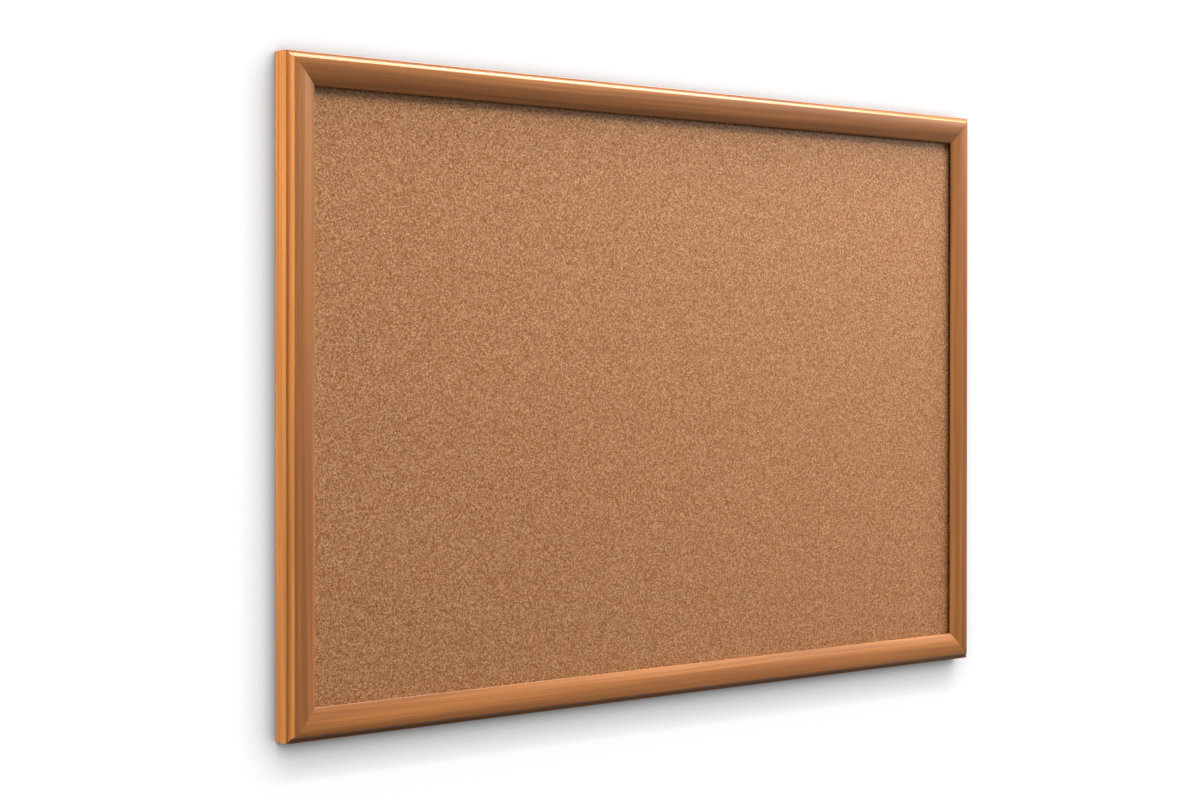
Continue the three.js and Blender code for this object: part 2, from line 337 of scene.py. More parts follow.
class Nodes:
    """Adds nodes to a tree and links them in one call."""

    def __init__(self, tree):
        self.tree = tree

    def put(self, socket, value):
        """Links what changes over the surface, and sets what is the same all over it."""
        if isinstance(value, bpy.types.NodeSocket):
            self.tree.links.new(value, socket)
        elif socket.type == "RGBA":
            socket.default_value = (*value, 1)
        else:
            socket.default_value = value

    def feed(self, node, key, value):
        self.put(node.inputs[key], value)

    def add(self, kind, settings=None, **inputs):
        node = self.tree.nodes.new(kind)
        for key, value in (settings or {}).items():
            setattr(node, key, value)
        for key, value in inputs.items():
            self.feed(node, key.replace("_", " "), value)
        return node

    def join(self, kind, *values, **settings):
        """A node whose first inputs are these values, in their order."""
        node = self.add(kind, settings)
        for socket, value in zip(node.inputs, values):
            self.put(socket, value)
        return node

    def maths(self, operation, *values):
        return self.join("ShaderNodeMath", *values, operation=operation).outputs[0]

    def times(self, one, other):
        return self.maths("MULTIPLY", one, other)

    def vectors(self, operation, *values):
        return self.join("ShaderNodeVectorMath", *values, operation=operation).outputs

    def remap(self, value, low, high, to_low=0.0, to_high=1.0):
        """The range low to high of a value spread over another, and held at its ends."""
        made = self.join("ShaderNodeMapRange", value, low, high, to_low, to_high, clamp=True)
        return made.outputs["Result"]

    def spread(self, share, to_low, to_high):
        return self.remap(share, 0.0, 1.0, to_low, to_high)

    def mix(self, share, one, other, blend="MIX"):
        node = self.add("ShaderNodeMix", {"data_type": "RGBA", "blend_type": blend})
        share_socket, one_socket, other_socket = (node.inputs[index] for index in (0, 6, 7))
        self.put(share_socket, share)
        self.put(one_socket, one)
        self.put(other_socket, other)
        return node.outputs[2]

    def noise(self, vector, scale, detail=2.0, roughness=0.5, distortion=0.0):
        made = self.add("ShaderNodeTexNoise", Vector=vector, Scale=scale, Detail=detail)
        self.feed(made, "Roughness", roughness)
        self.feed(made, "Distortion", distortion)
        return made.outputs["Fac"]

    def scaled(self, vector, scale, shift=(0, 0, 0)):
        made = self.add("ShaderNodeMapping", Vector=vector, Scale=scale, Location=shift)
        return made.outputs["Vector"]


def new_group(name, outputs, **inputs):
    """A node group, the helper that fills it, its inputs as sockets and its end node."""
    tree = bpy.data.node_groups.new(name, "ShaderNodeTree")
    tree.interface.new_socket(name="Vector", in_out="INPUT", socket_type="NodeSocketVector")
    for label, default in inputs.items():
        socket = tree.interface.new_socket(
            name=label.replace("_", " "), in_out="INPUT", socket_type="NodeSocketFloat"
        )
        socket.default_value = default
    for label in outputs:
        tree.interface.new_socket(name=label, in_out="OUTPUT", socket_type="NodeSocketFloat")
    start = tree.nodes.new("NodeGroupInput").outputs[: 1 + len(inputs)]
    return Nodes(tree), start, tree.nodes.new("NodeGroupOutput")


def grain_group():
    """Straight wood grain along the vector's X: broad bands, streaks, hairlines and pores."""
    outputs = ("Bands", "Streaks", "Hairlines", "Pores")
    nodes, start, end = new_group("straight_grain", outputs, Band_Width=0.005, Run=0.4)
    vector, width, run = start
    along, across, _ = nodes.add("ShaderNodeSeparateXYZ", Vector=vector).outputs
    wander = nodes.noise(nodes.scaled(vector, (2.4, 14.0, 1.0)), 1.0, 1.0)
    drift = nodes.times(nodes.maths("SUBTRACT", wander, 0.5), 0.008)
    bent = nodes.maths("ADD", across, drift)
    far = nodes.maths("DIVIDE", along, run)

    def layer(label, width_share, run_share, detail, offset, low=0.3, high=0.7):
        wide = nodes.maths("DIVIDE", bent, nodes.times(width, width_share))
        long = nodes.maths("ADD", nodes.maths("DIVIDE", far, run_share), offset)
        place = nodes.add("ShaderNodeCombineXYZ", X=long, Y=wide, Z=offset).outputs[0]
        nodes.feed(end, label, nodes.remap(nodes.noise(place, 1.0, detail, 0.55), low, high))

    layer("Bands", 1.0, 1.0, 1.0, 3.1)
    layer("Streaks", 0.24, 0.4, 2.0, 11.7)
    layer("Hairlines", 0.07, 0.12, 1.0, 17.3)
    layer("Pores", 0.045, 0.022, 0.0, 23.9, 0.68, 0.8)
    return nodes.tree


def granule_group():
    """Pressed granules: each one's tone, the joints between them, bark specks and soft clouds."""
    outputs = ("Tone", "Joint", "Speck", "Fines", "Cloud")
    nodes, start, end = new_group("pressed_granules", outputs, Size=0.0014)
    vector, size = start
    scale = nodes.maths("DIVIDE", 1.0, size)
    ragged_scale = nodes.times(scale, 1.3)
    ragged = nodes.add("ShaderNodeTexNoise", Vector=vector, Scale=ragged_scale, Detail=1.0)
    push = nodes.vectors("SUBTRACT", ragged.outputs["Color"], (0.5, 0.5, 0.5))[0]
    reach = nodes.add("ShaderNodeVectorMath", {"operation": "SCALE"}, Scale=nodes.times(size, 0.55))
    nodes.put(reach.inputs[0], push)
    place = nodes.vectors("ADD", vector, reach.outputs[0])[0]

    def cells(factor, feature="F1", offset=(0, 0, 0)):
        return nodes.add(
            "ShaderNodeTexVoronoi",
            {"feature": feature},
            Vector=nodes.scaled(place, (1.0, 1.0, 1.0), offset),
            Scale=nodes.times(scale, factor),
            Randomness=1.0,
        ).outputs

    def tone(factor, channel, offset=(0, 0, 0)):
        picked = cells(factor, offset=offset)["Color"]
        return nodes.add("ShaderNodeSeparateColor", Color=picked).outputs[channel]

    edge = cells(1.0, "DISTANCE_TO_EDGE")["Distance"]
    nodes.feed(end, "Tone", tone(1.0, 0))
    nodes.feed(end, "Joint", nodes.remap(edge, 0.0, 0.14, 1.0, 0.0))
    nodes.feed(end, "Speck", nodes.remap(tone(1.1, 2, (0.9, 0.4, 0.2)), 0.955, 0.97))
    nodes.feed(end, "Fines", tone(2.1, 1, (0.3, 0.1, 0.7)))
    nodes.feed(end, "Cloud", nodes.remap(nodes.noise(vector, 110.0, 2.0, 0.6), 0.3, 0.7))
    return nodes.tree


def fibre_group():
    """Short fibres lying mostly along X, dark flecks and a slow cloudiness."""
    outputs = ("Fibres", "Cloud", "Flecks")
    nodes, start, end = new_group("paper_fibres", outputs, Length=0.004)
    vector, run = start
    scale = nodes.maths("DIVIDE", 1.0, run)
    stretched = nodes.scaled(vector, (0.35, 1.0, 1.6))
    fibres = nodes.noise(stretched, nodes.times(scale, 4.0), 3.0, 0.65, 0.8)
    flecks = nodes.noise(vector, nodes.times(scale, 2.6), 1.0, 0.4)
    cloud = nodes.noise(vector, nodes.times(scale, 0.06), 3.0, 0.55)
    nodes.feed(end, "Fibres", nodes.remap(fibres, 0.25, 0.75))
    nodes.feed(end, "Cloud", nodes.remap(cloud, 0.3, 0.7))
    nodes.feed(end, "Flecks", nodes.remap(flecks, 0.68, 0.76))
    return nodes.tree


EFFECTS = {
    "straight_grain": grain_group,
    "pressed_granules": granule_group,
    "paper_fibres": fibre_group,
}


def object_place(nodes):
    return nodes.add("ShaderNodeTexCoord").outputs["Object"]


def effect(nodes, name, place=None, **inputs):
    """Puts a shared effect group in a material, and builds it the first time.

    The effect follows the object's own place unless another one is given.
    """
    tree = bpy.data.node_groups.get(name) or EFFECTS[name]()
    inputs["Vector"] = place or object_place(nodes)
    return nodes.add("ShaderNodeGroup", {"node_tree": tree}, **inputs).outputs


def new_material(name, roughness, specular, metallic=0.0):
    """A material with a bare shader, and the helper that fills in its nodes."""
    material = bpy.data.materials.new(name)
    material.use_nodes = True
    shader = material.node_tree.nodes["Principled BSDF"]
    shader.inputs["Roughness"].default_value = roughness
    shader.inputs["Metallic"].default_value = metallic
    shader.inputs["Specular IOR Level"].default_value = specular
    return material, Nodes(material.node_tree), shader


def greyed(nodes, tint, shade):
    grey = nodes.add("ShaderNodeCombineColor", Red=shade, Green=shade, Blue=shade).outputs[0]
    return nodes.mix(1.0, tint, grey, "MULTIPLY")


def shaded(tint, share):
    """A colour made darker, or paler with a share above one."""
    return tuple(min(1.0, value * share) for value in tint)


# What each finish gives back: its colour, its roughness, its relief and that relief's depth


def oak(nodes, finish):
    """Satin oak wrap. Its UV runs along the moulding and round its section."""
    place = nodes.add("ShaderNodeUVMap", {"uv_map": "grain"}).outputs[0]
    bands, streaks, hairs, pores = effect(nodes, "straight_grain", place)
    tone = nodes.mix(bands, finish.oak_dark, finish.oak_light)
    shade = nodes.spread(streaks, 0.9, 1.1)
    shade = nodes.times(shade, nodes.spread(hairs, 0.91, 1.09))
    tint = nodes.mix(nodes.times(pores, 0.4), greyed(nodes, tone, shade), finish.oak_pore)
    relief = nodes.maths("SUBTRACT", nodes.times(hairs, 0.3), pores)
    return tint, nodes.spread(streaks, 0.42, 0.34), relief, 0.00003


def core_wood(nodes, finish):
    """Pressed wood fibre, as cut by the moulder and the router."""
    fibres, cloud, flecks = effect(nodes, "paper_fibres", Length=0.003)
    dark, pale = shaded(finish.core_wood, 0.72), shaded(finish.core_wood, 1.25)
    tone = nodes.mix(fibres, dark, finish.core_wood)
    tone = nodes.mix(nodes.times(cloud, 0.35), tone, pale)
    tint = nodes.mix(nodes.times(flecks, 0.5), tone, dark)
    return tint, nodes.spread(fibres, 0.92, 0.78), fibres, 0.00006


def cork(nodes, finish):
    """Fine pressed cork with light and dark granules and specks of bark."""
    granules = effect(nodes, "pressed_granules", Size=finish.granule)
    tone, joint, speck, fines, cloud = granules
    body = nodes.mix(nodes.remap(tone, 0.5, 1.0), finish.cork_mean, finish.cork_light)
    body = nodes.mix(nodes.remap(tone, 0.45, 0.0), body, finish.cork_dark)
    shade = nodes.spread(fines, 0.68, 1.35)
    shade = nodes.times(shade, nodes.spread(cloud, 0.985, 1.015))
    body = nodes.mix(nodes.times(joint, 0.3), greyed(nodes, body, shade), finish.cork_dark)
    tint = nodes.mix(nodes.times(speck, 0.6), body, finish.cork_bark)
    relief = nodes.maths("SUBTRACT", nodes.times(fines, 0.5), joint)
    return tint, nodes.spread(tone, 0.42, 0.32), relief, 0.00005


def fibreboard(nodes, finish):
    """Soft low-density fibreboard."""
    fibres, cloud, flecks = effect(nodes, "paper_fibres", Length=0.006)
    dark = shaded(finish.fibreboard, 0.65)
    tint = nodes.mix(fibres, dark, finish.fibreboard)
    tint = nodes.mix(nodes.times(flecks, 0.6), tint, dark)
    return tint, nodes.spread(cloud, 0.98, 0.88), fibres, 0.0002


def kraft(nodes, finish):
    """Brown kraft paper, glued flat, with its fibres and faint blotches of the glue under it."""
    fibres, cloud, flecks = effect(nodes, "paper_fibres", Length=0.005)
    dark, pale = shaded(finish.kraft, 0.78), shaded(finish.kraft, 1.14)
    tone = nodes.mix(nodes.times(fibres, 0.8), dark, finish.kraft)
    tone = nodes.mix(nodes.times(cloud, 0.5), tone, pale)
    tint = nodes.mix(nodes.times(flecks, 0.45), tone, dark)
    relief = nodes.maths("ADD", fibres, nodes.times(cloud, 6.0))
    return tint, nodes.spread(cloud, 0.86, 0.7), relief, 0.00003


def metal(nodes, tint, roughness, line_scale):
    """Plated or plain sheet steel: rolled lines and dull patches."""
    place = object_place(nodes)
    lines = nodes.noise(nodes.scaled(place, (1.0, 1.0, 0.06)), line_scale, 3.0, 0.6)
    patches = nodes.noise(place, 160.0, 3.0, 0.6)
    tint = nodes.mix(nodes.remap(patches, 0.35, 0.7), tint, shaded(tint, 0.72))
    rough = nodes.maths("ADD", nodes.remap(lines, 0.3, 0.7, -0.08, 0.08), roughness)
    rough = nodes.maths("ADD", rough, nodes.remap(patches, 0.35, 0.7, 0.0, 0.14))
    return tint, rough, lines, 0.00001


def zinc(nodes, finish):
    return metal(nodes, finish.zinc, 0.34, 900.0)


def steel(nodes, finish):
    return metal(nodes, finish.steel, 0.4, 1400.0)


# Each finish with its plain roughness and specular level, and how metallic it is
FINISHES = {
    "oak_grain": (oak, 0.42, 0.34),
    "pressed_core": (core_wood, 0.85, 0.3),
    "granulated_cork": (cork, 0.37, 0.22),
    "soft_fibreboard": (fibreboard, 0.95, 0.2),
    "kraft_sheet": (kraft, 0.8, 0.3),
    "plated_zinc": (zinc, 0.34, 0.5, 1.0),
    "drawn_steel": (steel, 0.4, 0.5, 1.0),
}


def finish_material(name):
    """The named material, made the first time that a piece asks for it."""
    material = bpy.data.materials.get(name)
    if not material:
        look, *plain = FINISHES[name]
        material, nodes, shader = new_material(name, *plain)
        tint, rough, height, depth = look(nodes, bpy.context.scene.cork_board_finish)
        relief = nodes.add("ShaderNodeBump", Height=height, Distance=depth, Strength=1.0)
        nodes.feed(shader, "Base Color", tint)
        nodes.feed(shader, "Roughness", rough)
        nodes.feed(shader, "Normal", relief.outputs[0])
    return material


def seen_plainly(nodes):
    """One where the camera, a mirror or glass looks, and zero for the light on things."""
    path = nodes.add("ShaderNodeLightPath").outputs
    seen = nodes.maths("MAXIMUM", path["Is Camera Ray"], path["Is Glossy Ray"])
    return nodes.maths("MAXIMUM", seen, path["Is Transmission Ray"])


def pale_material(name, tint, glow, is_wall):
    """A pale matt surface of the stage, with a glow that is seen but lights nothing.

    The glow nears white far from the board, where the lamps fade, and carries a painted shade
    beside what touches the surface. The wall looks slightly upwards for open sky, so this painted
    shadow is darker below the board than above it, and the wall is clear from behind.
    """
    material, nodes, shader = new_material(name, 0.9, 0.1)
    grain = nodes.noise(object_place(nodes), 3.0, 2.0)
    paint = nodes.mix(grain, tint, shaded(tint, 0.985))
    looked_at = nodes.add("ShaderNodeLightPath").outputs["Is Camera Ray"]
    bounce = nodes.mix(looked_at, shaded(tint, STAGE_BOUNCE), paint)
    nodes.feed(shader, "Base Color", bounce)

    # Painted shade: ambient occlusion darkens the glow beside what touches the stage, a soft
    # painted shadow
    corner = nodes.add("ShaderNodeAmbientOcclusion", {"samples": 8}, Distance=CORNER_REACH)
    if is_wall:
        nodes.feed(corner, "Normal", nodes.join("ShaderNodeCombineXYZ", *WALL_LEAN).outputs[0])
    open_sky = nodes.remap(corner.outputs["AO"], SHADE_FROM, SHADE_TO)
    away = nodes.vectors("LENGTH", object_place(nodes))["Value"]
    strength = nodes.remap(away, GLOW_NEAR, GLOW_FAR, glow, FAR_GLOW)
    strength = nodes.times(strength, nodes.times(seen_plainly(nodes), open_sky))
    lift = nodes.add("ShaderNodeEmission", Strength=strength).outputs[0]
    surface = nodes.join("ShaderNodeAddShader", shader.outputs[0], lift).outputs[0]
    if is_wall:
        behind = nodes.add("ShaderNodeNewGeometry").outputs["Backfacing"]
        clear = nodes.add("ShaderNodeBsdfTransparent").outputs[0]
        surface = nodes.join("ShaderNodeMixShader", behind, surface, clear).outputs[0]
    nodes.feed(material.node_tree.nodes["Material Output"], "Surface", surface)
    return material


# Mouldings

ARRIS_STEPS, COVE_STEPS, FACE_STEPS, EDGE_STEPS = 5, 14, 18, 6  # facets of the section's arcs
WRAP_SHIFT = 1.7  # how far along the oak pattern one side's grain lies from the next one's
NAIL_PLACE_SHARES = (0.32, 0.72)  # of the solid wood between the outer side and the groove
NAIL_HALF_ANGLE = math.radians(55)
KEYHOLE_STEPS, SLOT_STEPS = 40, 20


def frame_sides(sizes):
    """The frame's four sides: name, turn about the view axis, outer length and outer reach."""
    wide, high = sizes.board_width, sizes.board_height
    return (
        ("top_rail", 0, wide, high / 2),
        ("right_stile", 90, high, wide / 2),
        ("bottom_rail", 180, wide, high / 2),
        ("left_stile", -90, high, wide / 2),
    )


def side_matrix(turn, reach):
    """From a moulding's own axes, X inset, Y height and Z along it, to its place in the frame."""
    top = from_axes(DOWN, OUT, RIGHT, (0, 0, reach))
    return Matrix.Rotation(math.radians(turn), 4, "Y") @ top


def touching_arc(sizes, inset, radius):
    """Where an arc of this radius touches the front face from within: its height and angle."""
    reach = sizes.face_radius - radius
    rise = math.sqrt(reach**2 - (inset - sizes.crown_inset) ** 2)
    return rise, math.degrees(math.atan2(rise, inset - sizes.crown_inset))


def draw_moulding(bm, sizes):
    """The section, from the groove's bottom round the back, the side and the front.

    Also gives the numbers of the points between which the oak wrap lies.
    """
    face_drop = math.sqrt(sizes.face_radius**2 - (sizes.face_width - sizes.crown_inset) ** 2)
    centre = (sizes.crown_inset, sizes.lip_front - face_drop)
    shoulder_x = sizes.cove_inset + sizes.cove_radius + sizes.shoulder_radius
    shoulder_rise, shoulder_turn = touching_arc(sizes, shoulder_x, sizes.shoulder_radius)
    shoulder_y = centre[1] + shoulder_rise
    lip_x = sizes.face_width - sizes.lip_radius
    lip_rise, lip_turn = touching_arc(sizes, lip_x, sizes.lip_radius)
    side_height = shoulder_y - sizes.cove_radius
    arris = sizes.arris_radius

    outline = Outline(bm, (sizes.groove_inset, sizes.flange_thickness))
    outline.line(sizes.flange_inset, sizes.flange_thickness)
    outline.line(sizes.flange_inset, 0)
    outline.line(sizes.wrap_lap, 0)
    wrap_from = len(outline.verts) - 1
    outline.line(arris, 0)
    outline.arc((arris, arris), -90, ARRIS_STEPS)
    outline.line(0, side_height - arris)
    outline.arc((arris, side_height - arris), -90, ARRIS_STEPS)
    outline.line(sizes.cove_inset, side_height)
    outline.arc((sizes.cove_inset, shoulder_y), 90, COVE_STEPS)
    outline.arc((shoulder_x, shoulder_y), shoulder_turn - 180, EDGE_STEPS)
    outline.arc(centre, lip_turn - shoulder_turn, FACE_STEPS)
    outline.arc((lip_x, centre[1] + lip_rise), -lip_turn, EDGE_STEPS)
    outline.line(sizes.face_width, sizes.groove_front + sizes.lip_back_cut)
    outline.line(sizes.face_width - sizes.lip_back_cut, sizes.groove_front)
    wrap_to = len(outline.verts) - 1
    outline.line(sizes.groove_inset, sizes.groove_front)
    for vert in outline.verts:
        vert.co.y = min(vert.co.y, -CAD_LOW.y)
    return outline, wrap_from, wrap_to


def make_moulding(name, turn, outer_length, reach, sizes, index):
    """A moulding with mitred ends, oak outside and pressed wood where it is cut."""
    bm = bmesh.new()
    run_layer = bm.verts.layers.float.new("run")
    outline, wrap_from, wrap_to = draw_moulding(bm, sizes)
    runs = [0.0]
    for vert, following in zip(outline.verts, outline.verts[1:]):
        runs.append(runs[-1] + (following.co - vert.co).length)
        following[run_layer] = runs[-1]
    bottom = outline.face()
    bottom.material_index = 1
    extrude_face(bm, bottom, outer_length)
    bmesh.ops.translate(bm, vec=(0, 0, -outer_length / 2), verts=bm.verts)
    for face in bm.faces:
        middle = sum(vert[run_layer] for vert in face.verts) / len(face.verts)
        wrapped = len(face.verts) == 4 and runs[wrap_from] < middle < runs[wrap_to]
        face.material_index = 0 if wrapped else 1

    stop = (outer_length - sizes.mitre_gap) / 2
    for end in (1, -1):
        plane = {"plane_co": (0, 0, end * stop), "plane_no": (1, 0, end)}
        whole = bm.verts[:] + bm.edges[:] + bm.faces[:]
        cut = bmesh.ops.bisect_plane(bm, geom=whole, dist=1e-8, clear_outer=True, **plane)
        rim = only(cut["geom_cut"], bmesh.types.BMEdge)
        for face in bmesh.ops.holes_fill(bm, edges=rim, sides=0)["faces"]:
            face.material_index = 1
        shape = {"affect": "EDGES", "segments": 2, "profile": 0.5, "material": -1}
        bmesh.ops.bevel(bm, geom=rim, offset=sizes.mitre_ease, clamp_overlap=True, **shape)

    grain = bm.loops.layers.uv.new("grain")
    for face in bm.faces:
        for loop in face.loops:
            loop[grain].uv = (loop.vert.co.z + WRAP_SHIFT * index, loop.vert[run_layer])
    bmesh.ops.transform(bm, matrix=side_matrix(turn, reach), verts=bm.verts)
    return finish_mesh(bm, f"{name}_moulding", "oak_grain", "pressed_core")


def recess_cutters(sizes, hardware, name, turn, outer_length, reach):
    """What is taken out of a moulding's back: recesses for plate, staples and V-nails."""
    seats, pockets = bmesh.new(), bmesh.new()
    short = name.split("_")[0]
    grow = hardware.drive_clearance
    room = Vector((grow, grow, grow))
    for node in sorted(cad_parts):
        if node.startswith(f"panel_staple_{short}_"):
            low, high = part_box(node)
            add_box(seats, low - room, (high.x + grow, CUT_OVERRUN, high.z + grow))
    matrix = side_matrix(turn, reach)
    for end in (1, -1):
        for share in NAIL_PLACE_SHARES:
            inset = share * sizes.groove_inset
            place = (inset, 0, end * (outer_length / 2 - inset))
            nail = matrix @ nail_matrix(end, place)
            add_slab(seats, nail_outline(hardware, grow), -CUT_OVERRUN, hardware.nail_length, nail)
    if short in SIDES:
        plate = plate_matrix(short)
        reach_in = (hardware.plate_length - hardware.plate_width) / 2
        seat = hardware.plate_sink + hardware.plate_thickness
        mortise = stadium(reach_in, hardware.plate_width / 2 + hardware.plate_clearance)
        add_slab(seats, mortise, -CUT_OVERRUN, seat, plate)
        pocket = stadium(hardware.slot_travel / 2, hardware.pocket_radius)
        add_slab(pockets, pocket, -CUT_OVERRUN, seat + hardware.pocket_depth, plate)
    for label, bm in (("seats", seats), ("pockets", pockets)):
        if not bm.verts:
            bm.free()
            continue
        for face in bm.faces:
            face.material_index = 1
        yield finish_mesh(bm, f"{short}_{label}_cutter", "oak_grain", "pressed_core")


def nail_matrix(end, place):
    """A V-nail's own axes in a moulding's: its X points to the outer corner, its Z off the wall."""
    half = math.sqrt(0.5)
    return from_axes((-half, 0, end * half), (end * half, 0, half), (0, 1, 0), place)


def nail_outline(hardware, grow):
    """A bent strip, seen along the way that it is driven."""

    def draw(bm):
        along = Vector((-math.cos(NAIL_HALF_ANGLE), math.sin(NAIL_HALF_ANGLE)))
        across = Vector((along.y, -along.x))
        half = hardware.nail_thickness / 2 + grow
        bend = half / math.sin(NAIL_HALF_ANGLE)
        wing_end = along * (hardware.nail_wing + grow)
        outer, inner = wing_end + across * half, wing_end - across * half
        outline = Outline(bm, (bend, 0))
        for x, y in (outer, inner, (-bend, 0), (inner.x, -inner.y), (outer.x, -outer.y)):
            outline.line(x, y)
        return outline.face()

    return draw


def plate_matrix(side):
    """From a hanger's own axes, X up along its slot and Z off the wall, to its place."""
    low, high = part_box(f"hanger_plate_{side}")
    return from_axes(UP, LEFT, OUT, ((low.x + high.x) / 2, 0, (low.z + high.z) / 2))


def keyhole_outline(hardware):
    """A round hole below that a screw's head passes, and the slot above it for the shank."""

    def draw(bm):
        turn = math.asin(hardware.slot_radius / hardware.keyhole_radius)
        hole, slot = -hardware.slot_travel / 2, hardware.slot_travel / 2
        start = Vector((math.cos(turn), math.sin(turn))) * hardware.keyhole_radius
        outline = Outline(bm, (hole + start.x, start.y))
        outline.arc((hole, 0), 360 - 2 * math.degrees(turn), KEYHOLE_STEPS)
        outline.line(slot, -hardware.slot_radius)
        outline.arc((slot, 0), 180, SLOT_STEPS)
        return outline.face()

    return draw


class CORKBOARD_OT_mouldings(Operator):
    """Makes the four mitred mouldings with the recesses in their backs"""

    bl_idname = "cork_board.mouldings"
    bl_label = "Mouldings"

    def execute(self, context):
        sizes, hardware = context.scene.cork_board_moulding, context.scene.cork_board_hardware
        for index, side in enumerate(frame_sides(sizes)):
            piece = make_moulding(*side, sizes, index)
            cut_out(piece, list(recess_cutters(sizes, hardware, *side)))
            even_normals(piece)
            place_piece(piece, "oak_finish", side[0])
        return {"FINISHED"}


# Panel

SCATTER = 0.3  # how far a point of the cork's face is moved in its plane, in spacings
SWELLS_A_METRE = 90
GRAIN_SHARE, SWELL_SHARE = 0.6, 0.4  # of the relief: point by point, and in broad swells
CORK_CREASE = math.radians(50)


class CORKBOARD_OT_cork(Operator):
    """Makes the cork sheet with its uneven granular face"""

    bl_idname = "cork_board.cork"
    bl_label = "Cork sheet"

    def execute(self, context):
        finish = context.scene.cork_board_finish
        low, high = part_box("cork_sheet")
        wide, tall = high.x - low.x, high.z - low.z
        columns = round(wide / finish.relief_spacing)
        rows = round(tall / finish.relief_spacing)
        bm = bmesh.new()
        bmesh.ops.create_grid(bm, x_segments=columns, y_segments=rows, size=0.5)
        to_face = Matrix(((wide, 0, 0, 0), (0, 0, 1, low.y), (0, tall, 0, 0), (0, 0, 0, 1)))
        bmesh.ops.transform(bm, matrix=to_face, verts=bm.verts)
        draws = random.Random(finish.seed)
        shift = finish.relief_spacing * SCATTER
        for vert in bm.verts:
            if vert.is_boundary:
                continue
            vert.co.x += draws.uniform(-shift, shift)
            vert.co.z += draws.uniform(-shift, shift)
            swell = 0.5 + 0.5 * noise.noise(vert.co * SWELLS_A_METRE)
            vert.co.y += finish.relief * (GRAIN_SHARE * draws.random() + SWELL_SHARE * swell)
        rim = [edge for edge in bm.edges if edge.is_boundary]
        made = bmesh.ops.extrude_edge_only(bm, edges=rim)["geom"]
        back = only(made, bmesh.types.BMVert)
        bmesh.ops.translate(bm, vec=(0, high.y - low.y, 0), verts=back)
        edges = [edge for edge in only(made, bmesh.types.BMEdge) if edge.is_boundary]
        bmesh.ops.edgeloop_fill(bm, edges=edges)
        piece = finish_mesh(bm, "cork_face", "granulated_cork", crease=CORK_CREASE)
        place_piece(piece, "cork", "cork_sheet")
        return {"FINISHED"}


class CORKBOARD_OT_panel_layers(Operator):
    """Gives the core and the backing paper their finishes"""

    bl_idname = "cork_board.panel_layers"
    bl_label = "Core and paper"

    def execute(self, context):
        dress("fibreboard_core", "soft_fibreboard")
        dress("backing_paper", "kraft_sheet")
        return {"FINISHED"}


# Hardware

PLATE_EASE, PLATE_STEPS, HOLE_STEPS = 0.00012, 32, 40
HEAD_RIM = 0.00012  # the thin edge round a countersunk head
TIP_RADIUS = 0.00012
NECK = 0.0006  # from the head's cone to the thread's core
SCREW_STEPS = 32
THREAD_LEAD = 0.0014  # from the head's cone to the first turn
THREAD_END = 0.0009  # from the last turn to the tip
THREAD_STEPS = 20  # to a turn
THREAD_ROOT_SHARE = 0.75  # of the core's radius, where the thread's ridge starts
THREAD_FOOT_SHARE = 0.3  # of the pitch, half the ridge's width at its foot
THREAD_TIP_SHARE = 0.12  # of the thread's radius that is left at the tip
RUN_IN = 0.5  # turns over which the thread rises out of the core
RECESS_LOW = (-0.00145, -0.00028, -0.0005)  # one arm of the cross recess
RECESS_HIGH = (0.00145, 0.00028, 0.0012)
RECESS_NARROWS = (0.35, 0.8)  # an arm's length and width at the bottom, as shares of the top
STAPLE_EASE, STAPLE_EASE_STEPS = 0.00018, 3
BEND_OUTER_STEPS, BEND_INNER_STEPS = 6, 4
BEND_SHARE = 1.3  # where a bend inside a staple starts, in thicknesses of its wire


class CORKBOARD_OT_hanger_plates(Operator):
    """Makes the keyhole hanger plates with their countersunk holes"""

    bl_idname = "cork_board.hanger_plates"
    bl_label = "Hanger plates"

    def execute(self, context):
        hardware = context.scene.cork_board_hardware
        reach = (hardware.plate_length - hardware.plate_width) / 2
        low, high = hardware.plate_sink, hardware.plate_sink + hardware.plate_thickness
        shank = hardware.screw_shank_radius + hardware.drive_clearance
        taper = hardware.screw_head_radius - shank
        flare_radius = hardware.screw_head_radius + CUT_OVERRUN
        for side in SIDES:
            place = plate_matrix(side)
            bm = bmesh.new()
            outline = stadium(reach, hardware.plate_width / 2, PLATE_STEPS)
            add_slab(bm, outline, low, high, place)
            piece = finish_mesh(bm, f"keyhole_plate_{side}", "plated_zinc")
            holes = bmesh.new()
            keyhole = keyhole_outline(hardware)
            add_slab(holes, keyhole, low - CUT_OVERRUN, high + CUT_OVERRUN, place)
            for end in (reach, -reach):
                flare = (low - CUT_OVERRUN, low + taper, flare_radius)
                bore = (low, high + CUT_OVERRUN, shank)
                for start, stop, wide in (flare, bore):
                    shape = {"radius1": wide, "radius2": shank, "depth": stop - start}
                    cone = bmesh.ops.create_cone(
                        holes, cap_ends=True, segments=HOLE_STEPS, **shape
                    )["verts"]
                    bmesh.ops.translate(holes, vec=(end, 0, (start + stop) / 2), verts=cone)
                    bmesh.ops.transform(holes, matrix=place, verts=cone)
            cut_out(piece, [finish_mesh(holes, f"{side}_holes_cutter", "plated_zinc")])
            ease_edges(piece, PLATE_EASE, 2)
            even_normals(piece)
            place_piece(piece, "zinc_plate", f"hanger_plate_{side}")
        return {"FINISHED"}


